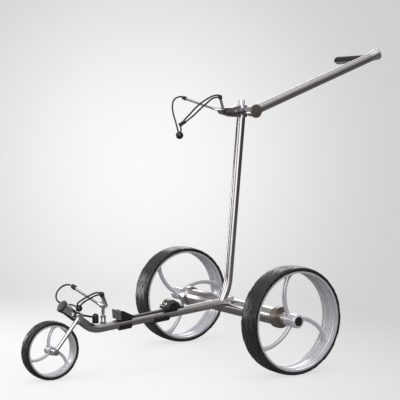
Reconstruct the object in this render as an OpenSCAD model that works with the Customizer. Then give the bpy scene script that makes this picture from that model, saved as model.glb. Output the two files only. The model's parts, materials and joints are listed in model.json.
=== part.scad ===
// Three-wheeled electric golf trolley: tubular steel frame, two driven rear
// wheels, one free front wheel, two bag brackets and a folding handle.
// +X is the side of the handle's pivot, -Y is forward, +Z is up.
// The origin is on the floor, in the middle of the trolley's length and width.

/* [Rear wheels] */
// Outer radius of a rear tyre
wheel_r = 150; // [130:1:175]
// Width of a rear tyre
wheel_w = 65; // [45:1:80]
// Distance between the middles of the rear tyres
track = 581; // [480:1:680]
// Thickness of a rear tyre
tyre_t = 12; // [8:0.5:18]
// Wall of a rear rim
rim_wall = 3.5; // [2.5:0.5:6]
// Diameter of a rear spoke
spoke_d = 12; // [8:0.5:16]

/* [Front wheel] */
// Outer radius of the front tyre
front_r = 80; // [65:1:95]
// Width of the front tyre
front_w = 34; // [24:1:40]
// Thickness of the front tyre
front_tyre_t = 10; // [6:0.5:14]
// Distance between the rear and the front axle
wheelbase = 593; // [560:1:720]

/* [Frame] */
// Diameter of the main tube and the mast
tube_d = 25; // [22:0.5:30]
// Wall of the frame tubes
tube_wall = 1.5; // [1:0.1:2.5]
// Slope of the main tube, falling towards the front
main_slope = 5.2; // [4:0.1:7]
// Slope of the front end, rising towards the front
nose_slope = 38; // [32:1:42]
// Diameter of the rear cross tube
axle_d = 48; // [44:0.1:58]
// Wall of the rear cross tube
axle_wall = 2; // [1.5:0.1:3]
// Backward lean of the mast
mast_lean = 5.3; // [3:0.1:8]
// Forward bend at the foot of the mast
mast_bend = 20; // [10:1:25]
// Height of the handle's pivot above the floor
pivot_z = 725; // [650:1:820]

/* [Handle] */
// Diameter of the handle tube
handle_d = 27; // [24:0.1:33]
// Length of the handle from its pivot to its end
handle_len = 503; // [420:1:600]
// Rise of the handle towards the back
handle_rise = 20.8; // [10:0.1:30]
// Diameter of the grip bar
grip_d = 22; // [18:0.5:25]
// Length of the grip bar from the handle tube's axis
grip_len = 145; // [110:1:170]
// Thickness of the grip pad
pad_t = 2; // [1.5:0.1:3]
// Diameter of the speed dial at its end
dial_d = 36; // [32:0.5:42]
// Length of the speed dial
dial_len = 36; // [28:1:45]

/* [Bag brackets] */
// Half of the distance between the upper bracket's tips
upper_half = 96; // [80:1:120]
// Half of the distance between the lower bracket's tips
lower_half = 84; // [70:1:100]
// Diameter of the upper bracket's rod
upper_d = 9; // [7:0.5:11]
// Diameter of the lower bracket's rod
lower_d = 11; // [9:0.5:13]
// Diameter of the elastic cords
cord_d = 4.8; // [3:0.1:6]

/* [Battery bay] */
// Width of the battery stops
stop_w = 48; // [40:1:60]
// Height of the front battery stop
front_stop_h = 26; // [20:1:32]
// Height of the rear battery stop
rear_stop_h = 28; // [22:1:32]
// Distance from the rear axle to the front stop's face
front_stop_y = 385; // [370:1:395]
// Distance from the rear axle to the rear stop's face
rear_stop_y = 235; // [225:1:245]

/* [Fits] */
// Radial clearance of a turning or sliding fit
run_fit = 0.05; // [0.02:0.01:0.08]
// Gap between neighbours that move past each other
gap = 0.5; // [0.3:0.1:1]

/* [Hidden] */
$fn = 64;

steel = "silver";
paint = "lightsteelblue";
black = "#222224";
bronze = "#4a4238";
eps = 0.01;

// Points and directions in the trolley's middle plane are [y, z], with y = 0
// at the rear axle and z = 0 on the floor, until from_axle() moves them.
tube_r = tube_d / 2;
axle_r = axle_d / 2;
axle_in = axle_r - axle_wall;
axle_z = wheel_r;
wheel_x = track / 2;
wheel_out = wheel_x + wheel_w / 2;
rim_r = wheel_r - tyre_t;
rim_in = rim_r - rim_wall;
front_rim_r = front_r - front_tyre_t;
front_rim_wall = 3;
front_rim_in = front_rim_r - front_rim_wall;
rear_lip = 1.5;
spoke_lead = 40;
left_angle = 92;
right_angle = 7;
front_angle = 76;
front_bearing_r = 9.5;
front_bearing_w = 6;

// Main tube: its axis crosses over the rear axle, bends up at the nose.
main_rise = 17;
main_back = [0, axle_z + main_rise];
nose_y = -(wheelbase - 128);
nose = [nose_y, main_back[1] + nose_y * tan(main_slope)];
nose_bend_r = 60;
nose_turn = main_slope + nose_slope;
nose_cut = nose_bend_r * tan(nose_turn / 2);
nose_dir = [-cos(nose_slope), sin(nose_slope)];
nose_up = [sin(nose_slope), cos(nose_slope)];
main_dir = [-cos(main_slope), -sin(main_slope)];
main_up = [-sin(main_slope), cos(main_slope)];
sleeve_start = 50;
sleeve_len = 64;
sleeve_r = tube_r + 2;
bumper_len = 7;
bumper_r = sleeve_r + 3;

// Front fork leg, beside the front wheel
fork_x = sleeve_r + 14.5;
fork_r = 6;
fork_half = 7;
fork_boss_r = 8;
fork_pin_r = 5;
lever_knob_r = 9;
fork_along = 70;
fork_off = 4;
fork_top = nose + fork_along * nose_dir + fork_off * nose_up;
front_axle_r = 4;
front_hub_half = 15;

// Mast: straight above, bent forward at its foot
pivot_y = 31;
bend_z = axle_z + 62;
bend_y = pivot_y - (pivot_z - bend_z) * tan(mast_lean);
mast_bend_r = 130;
mast_tail = 34;
weld = 0.01;
mast_dir = [sin(mast_lean), cos(mast_lean)];
mast_cut = mast_bend_r * tan(mast_bend / 2);
mast_up_len = (pivot_z - bend_z) / cos(mast_lean) - mast_cut - 6;

// Drive line, from the middle of the cross tube to a hub
collar_x = wheel_x - 65;
collar_w = 20;
collar_r = axle_r + 6;
spigot_len = 12;
bearing_r = 16;
bearing_w = 10;
shaft_r = 6;
gearbox_len = 50;
gearbox_x = collar_x - spigot_len - 13.5 - gearbox_len;
motor_x = 60;
motor_len = gearbox_x - motor_x;
rotor_r = 15;
rotor_shaft_r = 3;
adapter_r = 18;
adapter_len = 30;
hub_r = 19;
hub_x = collar_x + collar_w + 1 + adapter_len;
button_r = 13;
button_len = 8;
button_depth = 12;

// Head and handle pivot
head_r = tube_r + 4.5;
head_h = 34;
barrel_r = 12;
barrel_end = 45;
bolt_r = 5;
handle_r = handle_d / 2;
handle_x = barrel_end + handle_r + 1.5;
eye_r = handle_r + 1.5;
disc_r = handle_r + 6;
disc_t = 6;
disc_x = handle_x + handle_r + 3.5;
handle_in = handle_r - tube_wall;
tube_end = handle_len - dial_len;
grip_at = tube_end - grip_d / 2 - pad_t - 2;
dial_grooves = 16;

// Bag brackets, in the trolley's middle plane
post_y = -(wheelbase - 161);
post_foot = [post_y, main_back[1] + post_y * tan(main_slope)];
post_top = 190;
lower_root = [18, post_y, post_top];
lower_tip = [lower_half, post_y - 48, post_top + 44];
upper_root = [21, pivot_y - 79, pivot_z + 7];
upper_tip = [upper_half, pivot_y - 139, pivot_z + 39];
cap_len = 11;
cap_wall = 1.5;
v_bend_r = 12;
swell = 0.25;

// Battery bay
pad_h = 3;
pad_w = 16;
pad_tail = 18;
front_stop_len = 44;
rear_stop_len = 45;

// Routes of the elastic cords
upper_cord_route = [
    [-101, -112, 766], [-102, -117, 768], [-106, -131, 763], [-103, -142, 752], [-95, -149, 735],
    [-78, -156, 716], [-52, -166, 699], [-24, -178, 683], [-6, -184, 667]
];
upper_loop_a = [
    [99, -112, 766], [99, -117, 769], [94, -130, 767], [86, -138, 762], [72, -150, 751],
    [50, -159, 735], [28, -166, 716], [8, -172, 699]
];
upper_loop_b = [
    [101, -114, 764], [88, -128, 760], [72, -138, 746], [56, -147, 732],
    [38, -155, 716], [22, -163, 703], [7, -169, 693]
];
upper_lead = [
    [3, -181, 684], [7, -183, 677], [8, -183, 671], [4, -182, 665]
];
lower_cord_route = [
    [-89, -487, 239], [-92, -500, 240], [-91, -516, 234], [-82, -532, 223],
    [-68, -542, 212], [-50, -545, 203], [-32, -540, 198], [-14, -532, 198],
    [2, -524, 197], [9, -518, 193]
];
lower_loop_a = [
    [88, -486, 239], [82, -498, 239], [71, -508, 232], [58, -516, 224],
    [44, -522, 215], [30, -525, 206], [19, -520, 195]
];
lower_loop_b = [
    [90, -483, 235], [78, -495, 231], [64, -504, 222], [50, -511, 214],
    [37, -514, 206], [27, -514, 200], [20, -512, 193]
];
toggle_at = [2, -175, 690];
upper_ball_at = [0, -183, 656];
upper_ball_r = 11;
lower_ball_at = [15.5, -513.8, 189.6];
lower_ball_r = 9.5;

// Rest of the layout: the rear axle's distance behind the origin
dial_back = pivot_y + handle_len * cos(handle_rise) + dial_d / 2 * sin(handle_rise);
axle_y = (wheelbase + front_r - dial_back) / 2;

function mid(p, x = 0) = [x, p[0], p[1]];
function unit(v) = v / norm(v);

// A point of the smooth curve through p1 and p2, with p0 and p3 as neighbours
function spline(p0, p1, p2, p3, t) = 0.5 * (2 * p1 + (p2 - p0) * t
    + (2 * p0 - 5 * p1 + 4 * p2 - p3) * t * t
    + (3 * p1 - p0 - 3 * p2 + p3) * t * t * t);

function smooth(p, steps) = [
    for (i = [0:len(p) - 2])
        for (k = [0:steps - 1])
            spline(p[max(i - 1, 0)], p[i], p[i + 1], p[min(i + 2, len(p) - 1)], k / steps),
    p[len(p) - 1]
];

module from_axle() {
    translate([0, axle_y, 0]) children();
}

// Turns +Z to +X, with a flat drawing's x along y and its y along z
module along_x(x = 0, p = [0, 0]) {
    translate([x, p[0], p[1]]) rotate([90, 0, 90]) children();
}

module rod(a, b, r) {
    d = b - a;
    rise = acos(d[2] / norm(d));
    translate(a) rotate([0, rise, atan2(d[1], d[0])]) cylinder(h = norm(d), r = r);
}

module ring(r_out, r_in, h) {
    difference() {
        cylinder(h = h, r = r_out);
        translate([0, 0, -1]) cylinder(h = h + 2, r = r_in);
    }
}

// Both sides of the trolley
module both() {
    children();
    mirror([1, 0, 0]) children();
}

// A round cord along a smooth route, closed at both ends
module cord(route, steps, sides = 8) {
    path = smooth(route, steps);
    n = len(path);
    way = [for (i = [0:n - 1]) unit(path[min(i + 1, n - 1)] - path[max(i - 1, 0)])];
    side = [for (w = way) unit(cross(w, abs(w[2]) > 0.9 ? [1, 0, 0] : [0, 0, 1]))];
    rim = [
        for (i = [0:n - 1])
            for (k = [0:sides - 1])
                path[i] + cord_d / 2 * (cos(k * 360 / sides) * side[i]
                    + sin(k * 360 / sides) * cross(way[i], side[i]))
    ];
    walls = [
        for (i = [0:n - 2])
            for (k = [0:sides - 1])
                [i * sides + k, i * sides + (k + 1) % sides,
                    (i + 1) * sides + (k + 1) % sides, (i + 1) * sides + k]
    ];
    lids = [
        [for (k = [sides - 1:-1:0]) k],
        [for (k = [0:sides - 1]) (n - 1) * sides + k]
    ];
    polyhedron(points = rim, faces = concat(walls, lids), convexity = 6);
}

// ---- frame tubes -------------------------------------------------------------

// The main tube as a solid of radius r, or as a wall around a bore of radius r_in
module main_run(r, r_in = 0) {
    start = nose - nose_cut * main_dir;
    finish = nose + nose_cut * nose_dir;
    tip = nose + (sleeve_start + sleeve_len) * nose_dir;
    pipe(mid(main_back), mid(start), r, r_in);
    elbow(start + nose_bend_r * main_up, nose_bend_r, 270 - nose_slope, nose_turn, r, r_in);
    pipe(mid(finish), mid(tip), r, r_in);
}

// A straight pipe from a to b
module pipe(a, b, r, r_in) {
    difference() {
        rod(a, b, r);
        if (r_in > 0) rod(a - unit(b - a), b + unit(b - a), r_in);
    }
}

// A bent pipe in the middle plane, about a centre, from an angle through a turn
module elbow(centre, bend_r, from, turn, r, r_in) {
    along_x(0, centre) rotate([0, 0, from]) rotate_extrude(angle = turn)
        translate([bend_r, 0]) difference() {
            circle(r = r);
            if (r_in > 0) circle(r = r_in);
        }
}

module main_tube() {
    color(steel) from_axle() difference() {
        main_run(tube_r, tube_r - tube_wall);
        rod([-wheel_x, 0, axle_z], [wheel_x, 0, axle_z], axle_r);
    }
}

module axle_tube() {
    color(steel) from_axle() along_x(-collar_x, [0, axle_z]) ring(axle_r, axle_in, 2 * collar_x);
}

// The mast as a solid of radius r, or as a wall around a bore of radius r_in
module mast_run(r, r_in = 0) {
    bend = [bend_y, bend_z];
    foot_dir = [-sin(mast_lean + mast_bend), -cos(mast_lean + mast_bend)];
    top = bend + mast_cut * mast_dir;
    pipe(mid(top), mid(top + mast_up_len * mast_dir), r, r_in);
    elbow(top + mast_bend_r * [-mast_dir[1], mast_dir[0]], mast_bend_r, -mast_lean - mast_bend,
        mast_bend, r, r_in);
    pipe(mid(bend + mast_cut * foot_dir), mid(bend + (mast_cut + mast_tail) * foot_dir), r, r_in);
}

module mast_tube() {
    color(steel) from_axle() difference() {
        mast_run(tube_r, tube_r - tube_wall);
        rod(mid(main_back), mid(nose), tube_r - weld);
        rod([-wheel_x, 0, axle_z], [wheel_x, 0, axle_z], axle_r);
        on_main(90, tube_r / 3) translate([-wheel_r, 0, -wheel_r])
            cube([2 * wheel_r, 2 * wheel_r, wheel_r]);
    }
}

// ---- drive line --------------------------------------------------------------

module end_collars() {
    color(bronze) from_axle() both() difference() {
        union() {
            along_x(collar_x, [0, axle_z]) cylinder(h = collar_w, r = collar_r);
            along_x(collar_x - spigot_len, [0, axle_z]) cylinder(h = spigot_len + 1, r = axle_in);
        }
        along_x(collar_x + collar_w - bearing_w, [0, axle_z]) cylinder(h = bearing_w + 1, r = bearing_r);
        along_x(collar_x - spigot_len - 1, [0, axle_z]) cylinder(h = 60, r = shaft_r + 4);
    }
}

module output_bearings() {
    color("gray") from_axle() both()
        along_x(collar_x + collar_w - bearing_w, [0, axle_z]) ring(bearing_r, shaft_r, bearing_w);
}

module gearboxes() {
    color("dimgray") from_axle() both() difference() {
        along_x(gearbox_x, [0, axle_z]) cylinder(h = gearbox_len, r = axle_in);
        along_x(gearbox_x - 1, [0, axle_z]) cylinder(h = 16, r = rotor_shaft_r + 5);
        along_x(gearbox_x + gearbox_len - 18, [0, axle_z]) cylinder(h = 19, r = shaft_r);
    }
}

module motor_cans() {
    color("darkslategray") from_axle() both() difference() {
        along_x(motor_x, [0, axle_z]) cylinder(h = motor_len, r = axle_in);
        along_x(motor_x + 4, [0, axle_z]) cylinder(h = motor_len - 8, r = rotor_r + 2);
        along_x(motor_x - 1, [0, axle_z]) cylinder(h = motor_len + 2, r = rotor_shaft_r);
    }
}

module rotor() {
    color("peru") from_axle() union() {
        along_x(motor_x + 8, [0, axle_z]) cylinder(h = motor_len - 16, r = rotor_r);
        along_x(motor_x + 1, [0, axle_z]) cylinder(h = motor_len + 9, r = rotor_shaft_r - run_fit);
    }
}

module left_rotor() {
    rotor();
}

module right_rotor() {
    mirror([1, 0, 0]) rotor();
}

module controller() {
    board = [96, 30, 20];
    color("seagreen") from_axle() translate([0, 0, axle_z]) {
        cube(board, center = true);
        both() along_x(board[0] / 2 - eps) cylinder(h = 5, r = axle_in);
    }
}

// ---- front end ---------------------------------------------------------------

// Places a child on the nose axis, with +Z forward and up along it
module on_nose(s) {
    translate(mid(nose + s * nose_dir)) rotate([90 - nose_slope, 0, 0]) children();
}

module front_sleeve() {
    color(steel) from_axle() difference() {
        union() {
            on_nose(sleeve_start) cylinder(h = sleeve_len, r = sleeve_r);
            on_nose(sleeve_start) cylinder(h = 6, r = sleeve_r + 1.5);
            on_nose(sleeve_start + sleeve_len - 8) cylinder(h = 8, r = sleeve_r + 1.5);
        }
        on_nose(sleeve_start - 1) cylinder(h = sleeve_len + 2, r = tube_r);
    }
}

module front_bumper() {
    color("#3a3a3c") from_axle() on_nose(sleeve_start + sleeve_len) union() {
        cylinder(h = bumper_len - 2, r = bumper_r);
        translate([0, 0, bumper_len - 2 - eps]) rotate_extrude()
            polygon([[0, 0], [bumper_r, 0], [bumper_r - 2, 2], [0, 2]]);
    }
}

module fork_leg() {
    color(steel) from_axle() difference() {
        union() {
            rod(mid(fork_top, fork_x), [fork_x, -wheelbase, front_r], fork_r);
            along_x(sleeve_r - 4, fork_top) cylinder(h = fork_x - sleeve_r + 4, r = fork_pin_r);
            along_x(fork_x - fork_half, fork_top) cylinder(h = 2 * fork_half, r = fork_boss_r);
            along_x(fork_x - fork_half, [-wheelbase, front_r])
                cylinder(h = 2 * fork_half, r = fork_boss_r + 1);
        }
        on_nose(sleeve_start - 40) cylinder(h = sleeve_len + 60, r = sleeve_r);
        along_x(0, [-wheelbase, front_r]) cylinder(h = 60, r = front_axle_r);
    }
}

module front_axle() {
    spacer = fork_x - fork_half;
    color("gray") from_axle() union() {
        along_x(-front_hub_half - 1, [-wheelbase, front_r])
            cylinder(h = spacer + front_hub_half + 2, r = front_axle_r - run_fit);
        along_x(spacer, [-wheelbase, front_r]) cylinder(h = 2 * fork_half + 1, r = front_axle_r);
        along_x(front_hub_half + gap, [-wheelbase, front_r])
            cylinder(h = spacer - front_hub_half - gap, r = 7);
        along_x(fork_x + fork_half, [-wheelbase, front_r]) cylinder(h = 4, r = 8);
        along_x(-front_hub_half - gap - 4, [-wheelbase, front_r]) cylinder(h = 4, r = 9);
    }
}

module release_lever() {
    eye_x = sleeve_r + 1;
    eye_w = fork_x - fork_half - gap - eye_x;
    knob = [eye_x - 2, fork_top[0] + 55, fork_top[1] - 27];
    color(black) from_axle() difference() {
        union() {
            along_x(eye_x, fork_top) cylinder(h = eye_w, r = 9);
            rod([eye_x + 3, fork_top[0] + 3, fork_top[1] + 2], knob + [3, 0, 16], 2.8);
            translate(knob) cylinder(h = 18, r = lever_knob_r);
            translate(knob + [0, 0, 18]) sphere(r = lever_knob_r);
        }
        along_x(0, fork_top) cylinder(h = 60, r = fork_pin_r + run_fit);
    }
}

// ---- battery bay -------------------------------------------------------------

// Places a child on top of the main tube, y back along it and z away from it
module on_main(y, up = tube_r) {
    p = main_back + (-y / cos(main_slope)) * [-main_dir[0], -main_dir[1]];
    translate(mid(p)) rotate([main_slope, 0, 0]) translate([0, 0, up]) children();
}

// Two strips: the battery's seat between the stops, and a tail behind the rear stop
module battery_pad() {
    seat_y = front_stop_y - front_stop_len - gap;
    tail_y = rear_stop_y - rear_stop_len;
    color(black) from_axle() difference() {
        for (strip = [[seat_y, seat_y - rear_stop_y - gap], [tail_y, pad_tail]])
            on_main(strip[0], tube_r - 4) translate([-pad_w / 2, 0, 0])
                cube([pad_w, strip[1], pad_h + 4]);
        main_run(tube_r);
    }
}

module stop_plate() {
    color("#6b6865") from_axle() on_main(front_stop_y) translate([-stop_w / 2, -3, 2])
        linear_extrude(height = front_stop_h) square([stop_w, 3]);
}

module front_stop() {
    far = front_stop_len;
    wedge = [
        [0, 2], [0, front_stop_h - 2], [6, front_stop_h], [12, front_stop_h - 1],
        [far, 6], [far, 0], [4, 0]
    ];
    color(black) from_axle() difference() {
        on_main(front_stop_y) union() {
            for (x = [-17, 13]) along_x(x) linear_extrude(height = 4) polygon(wedge);
            along_x(-17) linear_extrude(height = 34)
                polygon([[0, 1], [0, 6], [far, 6], [far, 1]]);
            translate([-10, 0, -3]) cube([20, far, 5]);
        }
        main_run(tube_r);
    }
}

module rear_stop() {
    far = rear_stop_len;
    boot = [
        [0, 3], [0, 12], [9, rear_stop_h], [26, rear_stop_h],
        [far - 5, 18], [far, 6], [far, 3]
    ];
    color(black) from_axle() difference() {
        on_main(rear_stop_y) union() {
            intersection() {
                along_x(-stop_w / 2) linear_extrude(height = stop_w) polygon(boot);
                translate([0, 22, -2]) sphere(r = 33);
            }
            translate([-10, 2, -3]) cube([20, far - 4, 8]);
        }
        main_run(tube_r);
        for (x = [-13, 13]) contact_pin(x, 2.5);
    }
}

// A contact pin in the rear stop's sloping front face
module contact_pin(x, r) {
    on_main(rear_stop_y) translate([x, 6, 17]) rotate([60, 0, 0])
        translate([0, 0, -6]) cylinder(h = 11, r = r);
}

module power_contacts() {
    color("gold") from_axle() for (x = [-13, 13]) contact_pin(x, 2.5);
}

module under_clamps() {
    shell = tube_r + 6;
    color(black) from_axle() {
        for (seat = [[front_stop_y - 1, 36], [rear_stop_y + 36, 46]]) difference() {
            on_main(seat[0], 0) rotate([-90, 0, 0]) cylinder(h = seat[1], r = shell);
            main_run(tube_r);
            on_main(seat[0] + 1, -3) translate([-40, 0, 0]) cube([80, seat[1] + 10, 60]);
        }
    }
}

module clamp_screws() {
    color("gray") from_axle() for (y = [rear_stop_y + 14, rear_stop_y + 30]) difference() {
        on_main(y, 0) rotate([0, 55, 0]) cylinder(h = tube_r + 3, r = 2.6);
        main_run(tube_r);
    }
}

// ---- lower bag bracket -------------------------------------------------------

module post_socket() {
    color(steel) from_axle() difference() {
        translate([0, post_y, post_foot[1]]) union() {
            cylinder(h = tube_r + 22, r = 7.5);
            cylinder(h = tube_r + 4, r = 9);
        }
        main_run(tube_r);
        translate([0, post_y, post_foot[1] + tube_r + 6]) cylinder(h = 40, r = 4.5);
    }
}

module bracket_post() {
    color(steel) from_axle() difference() {
        union() {
            translate([0, post_y, post_foot[1] + tube_r + 6])
                cylinder(h = post_top - post_foot[1] - tube_r - 6, r = 4.5);
            along_x(-9, [post_y, post_top]) cylinder(h = 18, r = lower_d / 2 + 3.5);
        }
        v_rod(lower_root, lower_tip, lower_d / 2);
    }
}

// A V-shaped rod bent from one bar: a cross piece, two bends and two rising arms
module v_rod(root, tip, r) {
    d = tip - root;
    side = norm([d[1], d[2]]);
    turn = atan2(side, d[0]);
    cut = v_bend_r * tan(turn / 2);
    half = root[0] - cut;
    translate([0, root[1], root[2]]) rotate([atan2(d[2], d[1]), 0, 0]) {
        rod([-half, 0, 0], [half, 0, 0], r);
        both() {
            translate([half, v_bend_r, 0]) rotate([0, 0, -90]) rotate_extrude(angle = turn)
                translate([v_bend_r, 0]) circle(r = r + swell);
            rod([root[0] + cut * cos(turn), cut * sin(turn), 0], [root[0] + d[0], side, 0], r);
        }
    }
}

module lower_bracket() {
    color(steel) from_axle() v_rod(lower_root, lower_tip, lower_d / 2);
}

// A round bar about +Z with a domed end, as one revolved outline
module domed(r, h) {
    rotate_extrude() intersection() {
        union() {
            square([r, h - r]);
            translate([0, h - r]) circle(r = r);
        }
        square([r, h]);
    }
}

// Black caps over the last stretch of both arms
module caps(root, tip, r) {
    way = unit(tip - root);
    both() difference() {
        translate(tip - (cap_len - 3) * way)
            rotate([0, acos(way[2]), atan2(way[1], way[0])]) domed(r + cap_wall, cap_len + r);
        rod(root, tip, r);
    }
}

module lower_caps() {
    color(black) from_axle() caps(lower_root, lower_tip, lower_d / 2);
}

module lower_cord() {
    color(black) from_axle() cord(lower_cord_route, 2);
}

module lower_loop() {
    color(black) from_axle() {
        cord(lower_loop_a, 2);
        cord(lower_loop_b, 2);
    }
}

module lower_ball() {
    color(black) from_axle() translate(lower_ball_at) sphere(r = lower_ball_r);
}

// ---- head and upper bag bracket ----------------------------------------------

module head_block() {
    lug = [
        [-78, 0], [-72, -7], [-40, -16], [-14, -17], [0, -17],
        [0, 17], [-14, 17], [-40, 11], [-72, 9]
    ];
    color(steel) from_axle() difference() {
        union() {
            translate([0, pivot_y, pivot_z - head_h / 2]) cylinder(h = head_h, r = head_r);
            along_x(0, [pivot_y, pivot_z]) cylinder(h = barrel_end, r = barrel_r);
            along_x(-13, [pivot_y, pivot_z]) linear_extrude(height = 26) polygon(lug);
        }
        mast_run(tube_r);
        v_rod(upper_root, upper_tip, upper_d / 2);
        along_x(20, [pivot_y, pivot_z]) cylinder(h = 40, r = bolt_r);
        translate([0, pivot_y, pivot_z]) cylinder(h = 40, r = 4 + run_fit);
    }
}

module pivot_bolt() {
    color("gray") from_axle() along_x(20, [pivot_y, pivot_z]) union() {
        cylinder(h = barrel_end - 20, r = bolt_r);
        cylinder(h = disc_x - disc_t - 20 - gap, r = bolt_r - run_fit);
    }
}

module head_knob() {
    color(steel) from_axle() translate([0, pivot_y, pivot_z + head_h / 2 + gap]) difference() {
        union() {
            cylinder(h = 16, r = 9.5);
            translate([0, 0, -gap - 8]) cylinder(h = 10, r = 4);
        }
        for (a = [0:45:359]) rotate([0, 0, a]) translate([10.5, 0, 3]) cylinder(h = 20, r = 2);
    }
}

module upper_bracket() {
    color(steel) from_axle() v_rod(upper_root, upper_tip, upper_d / 2);
}

module upper_caps() {
    color(black) from_axle() caps(upper_root, upper_tip, upper_d / 2);
}

module upper_cord() {
    color(black) from_axle() cord(upper_cord_route, 2);
}

module upper_loop() {
    color(black) from_axle() {
        cord(upper_loop_a, 2);
        cord(upper_loop_b, 2);
        cord(upper_lead, 1);
    }
}

module upper_toggle() {
    color(black) from_axle() rod(toggle_at - [6, 6, 6], toggle_at + [6, 6, 6], 6.5);
}

module upper_ball() {
    color(black) from_axle() translate(upper_ball_at) sphere(r = upper_ball_r);
}

// ---- wheels ------------------------------------------------------------------

// A tyre about +Z, centred, with a slightly crowned tread
module tyre(r, r_in, w) {
    half = w / 2;
    rotate_extrude() polygon([
        [r_in, -half], [r - 3, -half], [r - 1, -half + 5], [r, -half / 3],
        [r, half / 3], [r - 1, half - 5], [r - 3, half], [r_in, half]
    ]);
}

// A rim about +Z, centred, with raised edges and a raised band in the middle
module rim(r_out, r_in, w, lip) {
    half = w / 2;
    rotate_extrude() polygon([
        [r_out, -half], [r_out, half], [r_in - lip, half], [r_in - lip, half - 4],
        [r_in, half - 7], [r_in, 8], [r_in - lip, 5], [r_in - lip, -5],
        [r_in, -8], [r_in, 7 - half], [r_in - lip, 4 - half], [r_in - lip, -half]
    ]);
}

// A hub about +Z with three arc spokes that end on a circle of radius r_rim
module spokes(r_rim, r_root, r_arc, d, lead) {
    outer = [r_rim + 4, 0];
    root = r_root * [cos(lead), sin(lead)];
    chord = outer - root;
    half = norm(chord) / 2;
    drop = sqrt(r_arc * r_arc - half * half);
    across = [chord[1], -chord[0]] / norm(chord);
    centre = (outer + root) / 2 + drop * across;
    from = atan2(outer[1] - centre[1], outer[0] - centre[0]);
    to = atan2(root[1] - centre[1], root[0] - centre[0]);
    intersection() {
        for (a = [0:120:359]) rotate([0, 0, a]) translate(centre) rotate([0, 0, from])
            rotate_extrude(angle = to - from) translate([r_arc, 0]) circle(d = d);
        translate([0, 0, -d]) cylinder(h = 2 * d, r = r_rim);
    }
}

module rear_tyre() {
    color("#2b2b2d") from_axle() along_x(wheel_x, [0, axle_z]) tyre(wheel_r, rim_r, wheel_w);
}

module rear_rim() {
    color(paint) from_axle() along_x(wheel_x, [0, axle_z]) rim(rim_r, rim_in, wheel_w, rear_lip);
}

module rear_spokes(angle) {
    color(paint) from_axle() difference() {
        union() {
            along_x(wheel_x, [0, axle_z]) rotate([0, 0, angle])
                spokes(rim_in - rear_lip, hub_r - 4, 0.793 * wheel_r, spoke_d, spoke_lead);
            along_x(hub_x, [0, axle_z]) cylinder(h = wheel_out - hub_x - 3, r = hub_r);
            along_x(wheel_out - 3 - eps, [0, axle_z]) rotate_extrude()
                polygon([[0, 0], [hub_r, 0], [hub_r - 3, 3], [0, 3]]);
        }
        along_x(hub_x - 1, [0, axle_z]) cylinder(h = 19, r = shaft_r);
        along_x(wheel_out - button_depth, [0, axle_z]) cylinder(h = 30, r = button_r);
    }
}

module left_tyre() {
    rear_tyre();
}

module right_tyre() {
    mirror([1, 0, 0]) rear_tyre();
}

module left_rim() {
    rear_rim();
}

module right_rim() {
    mirror([1, 0, 0]) rear_rim();
}

module left_spokes() {
    rear_spokes(left_angle);
}

module right_spokes() {
    mirror([1, 0, 0]) rear_spokes(right_angle);
}

module adapter() {
    color(steel) from_axle() along_x(hub_x - adapter_len, [0, axle_z])
        ring(adapter_r, shaft_r, adapter_len);
}

module left_adapter() {
    adapter();
}

module right_adapter() {
    mirror([1, 0, 0]) adapter();
}

// The output shaft: full size in the wheel, eased where it runs in the frame
module shaft() {
    inner = gearbox_x + gearbox_len - 16;
    grip = hub_x - adapter_len;
    color("gray") from_axle() union() {
        along_x(inner, [0, axle_z]) cylinder(h = grip - inner + 1, r = shaft_r - run_fit);
        along_x(grip, [0, axle_z]) cylinder(h = adapter_len + 18, r = shaft_r);
    }
}

module left_shaft() {
    shaft();
}

module right_shaft() {
    mirror([1, 0, 0]) shaft();
}

module button() {
    color(black) from_axle() along_x(wheel_out - button_len - gap, [0, axle_z])
        cylinder(h = button_len, r = button_r - run_fit);
}

module left_button() {
    button();
}

module right_button() {
    mirror([1, 0, 0]) button();
}

module front_tyre() {
    color("#2b2b2d") from_axle() along_x(0, [-wheelbase, front_r])
        tyre(front_r, front_rim_r, front_w);
}

module front_rim() {
    half = front_w / 2;
    color(paint) from_axle() along_x(0, [-wheelbase, front_r]) rotate_extrude() polygon([
        [front_rim_r, -half], [front_rim_r, half], [front_rim_in - 1, half],
        [front_rim_in - 1, half - 3], [front_rim_in, half - 5], [front_rim_in, 5 - half],
        [front_rim_in - 1, 3 - half], [front_rim_in - 1, -half]
    ]);
}

module front_spokes() {
    color(paint) from_axle() along_x(0, [-wheelbase, front_r]) difference() {
        union() {
            rotate([0, 0, front_angle])
                spokes(front_rim_in, 9, 0.793 * front_r, spoke_d * 0.7, spoke_lead);
            translate([0, 0, -front_hub_half]) cylinder(h = 2 * front_hub_half, r = 12);
        }
        translate([0, 0, -30]) cylinder(h = 60, r = front_axle_r + 2);
        for (z = [-front_hub_half - 1, front_hub_half - front_bearing_w])
            translate([0, 0, z]) cylinder(h = front_bearing_w + 1, r = front_bearing_r);
    }
}

module front_bearings() {
    color("gray") from_axle()
        for (x = [-front_hub_half, front_hub_half - front_bearing_w])
            along_x(x, [-wheelbase, front_r]) ring(front_bearing_r, front_axle_r, front_bearing_w);
}

// ---- handle ------------------------------------------------------------------

// Places a child on the handle's axis, with +Z out along it
module on_handle(s) {
    translate([handle_x, pivot_y, pivot_z]) rotate([handle_rise - 90, 0, 0])
        translate([0, 0, s]) children();
}

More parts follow.
